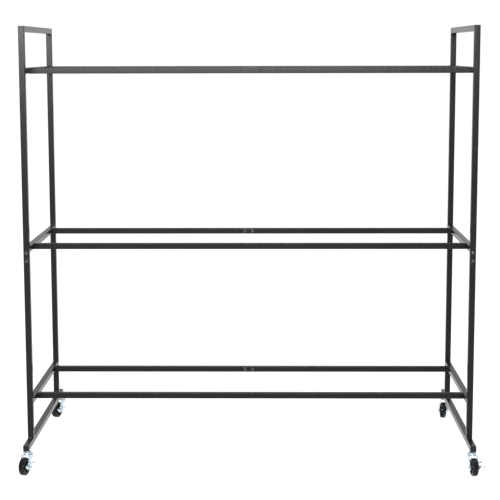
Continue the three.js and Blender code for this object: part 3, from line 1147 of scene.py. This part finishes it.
class RACK_OT_wheels(bpy.types.Operator):
    """Tyres and wheel centres of the castors"""

    bl_idname = "rack.wheels"
    bl_label = "Castor Wheels"

    steps: IntProperty(name="Steps", description="Faces round a tyre", default=72, min=24)
    ribs: IntProperty(name="Ribs", description="Ribs in each side of a wheel centre", default=6, min=3)

    def execute(self, context):
        each_castor(self.tyre, "tyre", "black_rubber", "wheel")
        each_castor(self.core, "wheel_core", "black_plastic", "wheel")
        return {"FINISHED"}

    def tyre(self):
        """A crowned tread with round shoulders and a shallow groove in each side."""
        bore = CORE_RADIUS + 0.3
        shoulder = 5
        side = TREAD_HALF_WIDTH
        crown = WHEEL_RADIUS - 0.5
        half = [
            (bore, -side), (bore + 1.4, -side), (bore + 1.8, -side + 0.7), (bore + 2.6, -side + 0.7),
            (bore + 3, -side),
            *arc((crown - shoulder, shoulder - side), shoulder, -90, -8, 7),
            (WHEEL_RADIUS - 0.12, -side / 4),
        ]
        profile = half + [(radius, -height) for radius, height in reversed(half)] + half[:1]
        return on_axle(turned(profile, self.steps))

    def core(self):
        """A dished web between rim and hub, stiffened by ribs."""
        bore, rim, web = AXLE_RADIUS + 0.4, TREAD_HALF_WIDTH - 1, 5
        half = [
            (bore, -HUB_HALF_LENGTH), (8, -HUB_HALF_LENGTH), (9.5, -rim), (10.5, -web), (23.5, -web),
            (24.5, -rim), (CORE_RADIUS - 0.5, -rim), (CORE_RADIUS, -rim + 0.5),
        ]
        profile = half + [(radius, -height) for radius, height in reversed(half)] + half[:1]
        piece = turned(profile, self.steps)
        soften(piece, 0.4)
        for rib in range(self.ribs):
            rod = bmesh.new()
            bmesh.ops.create_cube(rod, size=1, matrix=Matrix.Diagonal((15.5, 2.2, 2 * rim - 3, 1)))
            soften(rod, 0.5)
            turn = Matrix.Rotation(2 * math.pi * rib / self.ribs, 4, "Z")
            put_in(piece, rod, turn @ Matrix.Translation((17, 0, 0)))
        return on_axle(piece)


class RACK_OT_axles(bpy.types.Operator):
    """Axle bolts of the castors, with their nuts and washers"""

    bl_idname = "rack.axles"
    bl_label = "Castor Axles"

    def execute(self, context):
        each_castor(self.shape, "axle", "zinc", "swivel")
        return {"FINISHED"}

    def shape(self):
        nut_face = -FORK_HALF_WIDTH - 0.3
        head_face = LEVER_FACE + LEVER_SHEET + 0.5
        shank = [
            (0, nut_face - 6), (AXLE_RADIUS - 0.8, nut_face - 6), (AXLE_RADIUS, nut_face - 5.2),
            (AXLE_RADIUS, head_face + 1), (0, head_face + 1),
        ]
        piece = turned(shank, 24)
        put_in(piece, washer(AXLE_RADIUS, 7, 0.9), Matrix.Translation((0, 0, nut_face - 0.9)))
        put_in(piece, hexagon(11.6, 4.4, 0.6), Matrix.Translation((0, 0, nut_face - 5.3)))
        head = [(0, 0), (6.5, 0), (6.5, 1), *arc((0, -3.5), 7.9, 35, 90, 6)]
        put_in(piece, turned(head, 32), Matrix.Translation((0, 0, head_face)))
        return on_axle(piece)


class RACK_OT_brake_levers(bpy.types.Operator):
    """Side brake levers, each a pressed plate with two wings for the toe"""

    bl_idname = "rack.brake_levers"
    bl_label = "Brake Levers"

    wing: FloatProperty(
        name="Wing", description="Length of a lever's wings", default=24 * MM, unit="LENGTH"
    )
    bend_radius: FloatProperty(
        name="Bend", description="Outside radius of the bend at a wing's root",
        default=3.4 * MM, unit="LENGTH",
    )

    def execute(self, context):
        each_castor(self.shape, "brake_lever", "zinc", "brake")
        return {"FINISHED"}

    def shape(self):
        radius = self.bend_radius / MM
        root = LEVER_TOP - radius
        near, far = -TRAIL + LEVER_HALF_SPAN, -TRAIL - LEVER_HALF_SPAN
        plate = [
            (near, root, 0),
            (near - WING_WIDTH, root, 0),
            (far + WING_WIDTH, root, 0),
            (far, root, 0),
            (far, root - 6, 4),
            (-TRAIL - 12, WHEEL_RADIUS - 11, 7),
            (-TRAIL + 12, WHEEL_RADIUS - 11, 7),
            (near, root - 6, 4),
        ]
        piece = outline(plate, LEVER_FACE)
        bmesh.ops.recalc_face_normals(piece, faces=piece.faces[:])
        punch(piece, (LEVER_FACE, -TRAIL, WHEEL_RADIUS), X, AXLE_RADIUS + HOLE_CLEARANCE)
        self.add_wing(piece, -1, far, far + WING_WIDTH, root)
        self.add_wing(piece, 1, near - WING_WIDTH, near, root)
        below_wings = (LEVER_FACE + LEVER_HALF_SPAN, -TRAIL, 0)
        into_sheet(piece, LEVER_SHEET, below_wings, 0.3)
        return piece

    def add_wing(self, piece, end, low, high, root):
        """Bends a wing out of the plate's top edge between two places along it."""
        radius = self.bend_radius / MM

        def on_root(point):
            return (
                abs(point.z - root) < TINY
                and abs(point.x - LEVER_FACE) < TINY
                and low - TINY < point.y < high + TINY
            )

        centre = (LEVER_FACE + radius, 0, root)
        tip = bend(piece, edges_at(piece, on_root), centre, Y, 90 - end * WING_TILT)
        tilt = math.radians(end * WING_TILT)
        way = Vector((math.cos(tilt), 0, math.sin(tilt)))
        tip = run_out(piece, tip, way * (self.wing / MM - radius))
        corners = list({corner for edge in tip for corner in edge.verts})
        round_corners(piece, corners, 4)


# ------------------------------------------------------------------ studio


class RACK_OT_studio(bpy.types.Operator):
    """Floor, background, lights and camera"""

    bl_idname = "rack.studio"
    bl_label = "Studio"

    def execute(self, context):
        studio = context.scene.rack_studio
        context.scene.view_settings.view_transform = "Standard"
        self.floor(studio)
        self.background(context.scene)
        middle = (CAD_BOX[0] + CAD_BOX[1]) / 2
        upper_left = Vector((-0.5, 0, 1.7))
        self.light("overhead_softbox", studio.overhead, (0.2, -0.4, 3.6), middle, (3.2, 2.2))
        self.light("key_softbox", studio.key, (-0.7, -6.7, 2.5), upper_left, (4.3, 0.8))
        self.camera(context.scene, studio)
        return {"FINISHED"}

    def floor(self, studio):
        """A wide pale floor, lit so that it is nearly as bright as the background."""
        mesh = bmesh.new()
        bmesh.ops.create_grid(mesh, x_segments=8, y_segments=8, size=20)
        data = bpy.data.meshes.new("floor")
        mesh.to_mesh(data)
        mesh.free()
        colour = tuple(studio.floor)

        def varying(nodes, place):
            mottle = nodes.noise(place, 1.5, detail=2)
            return {"Base Color": nodes.mix(mottle, shade(colour, 0.99), colour)}

        fixed = {
            "Roughness": 0.9,
            "Specular IOR Level": 0.1,
            "Emission Color": (1, 1, 1),
            "Emission Strength": 0.94,
        }
        data.materials.append(finish("pale_floor", varying, fixed))
        floor = bpy.data.objects.new("floor", data)
        bpy.context.scene.collection.objects.link(floor)

    def background(self, scene):
        """White to look at. What it throws on the rack is brightest along the rear horizon and overhead."""
        world = bpy.data.worlds.new("studio")
        scene.world = world
        world.use_nodes = True
        tree = world.node_tree
        nodes = Nodes(tree)
        way = nodes.add("ShaderNodeTexCoord", output="Generated")
        depth = nodes.add("ShaderNodeSeparateXYZ", {}, {0: way}, "Y")
        height = nodes.add("ShaderNodeSeparateXYZ", {}, {0: way}, "Z")
        behind = nodes.spread(depth, -0.3, 0.7)
        horizon = 1 - nodes.spread(height, 0.02, 0.12)
        glow = 0.25 + behind * (0.45 + 0.3 * horizon) + 0.4 * nodes.spread(height, 0.3, 0.9)
        seen = nodes.add("ShaderNodeLightPath", output="Is Camera Ray")
        strength = 1.05 * seen + (1 - seen) * glow
        backdrop = tree.nodes["Background"]
        backdrop.inputs["Color"].default_value = (1, 1, 1, 1)
        nodes.fill(backdrop.inputs["Strength"], strength)

    def light(self, name, power, place, aim, size):
        data = bpy.data.lights.new(name, "AREA")
        data.shape = "RECTANGLE"
        data.size, data.size_y = size
        data.energy = power
        lamp = bpy.data.objects.new(name, data)
        lamp.matrix_world = stand(Vector(place) - aim, place)
        lamp.visible_camera = False
        bpy.context.scene.collection.objects.link(lamp)

    def camera(self, scene, studio):
        data = bpy.data.cameras.new("camera")
        data.lens = studio.lens / MM
        data.sensor_width = 36
        camera = bpy.data.objects.new("camera", data)
        scene.collection.objects.link(camera)
        level = Matrix.Rotation(studio.yaw, 4, "Z") @ Matrix.Rotation(math.pi / 2 - studio.pitch, 4, "X")
        camera.matrix_world = Matrix.Translation(studio.place) @ level @ Matrix.Rotation(studio.roll, 4, "Z")
        scene.camera = camera


# ------------------------------------------------------------------ the add-on


OPERATORS = (
    RACK_OT_studio,
    RACK_OT_end_frame_bars,
    RACK_OT_uprights,
    RACK_OT_rails,
    RACK_OT_joint_bolts,
    RACK_OT_rail_end_bolts,
    RACK_OT_end_caps,
    RACK_OT_castor_stems,
    RACK_OT_forks,
    RACK_OT_wheels,
    RACK_OT_axles,
    RACK_OT_brake_levers,
)


class RACK_PT_panel(bpy.types.Panel):
    """Lists what the add-on builds"""

    bl_idname = "RACK_PT_panel"
    bl_label = "Clothes Rack"
    bl_space_type = "VIEW_3D"
    bl_region_type = "UI"
    bl_category = "Clothes Rack"

    def draw(self, context):
        for name, group in GROUPS.items():
            box = self.layout.box()
            for value in group.__annotations__:
                box.prop(getattr(context.scene, name), value)
        for operator in OPERATORS:
            self.layout.operator(operator.bl_idname)


CLASSES = (*GROUPS.values(), *OPERATORS, RACK_PT_panel)


def register():
    for cls in CLASSES:
        bpy.utils.register_class(cls)
    for name, group in GROUPS.items():
        setattr(bpy.types.Scene, name, PointerProperty(type=group))


def unregister():
    for name in GROUPS:
        delattr(bpy.types.Scene, name)
    for cls in reversed(CLASSES):
        bpy.utils.unregister_class(cls)


def main():
    register()
    for operator in OPERATORS:
        module, name = operator.bl_idname.split(".")
        getattr(getattr(bpy.ops, module), name)()


if __name__ == "__main__":
    main()
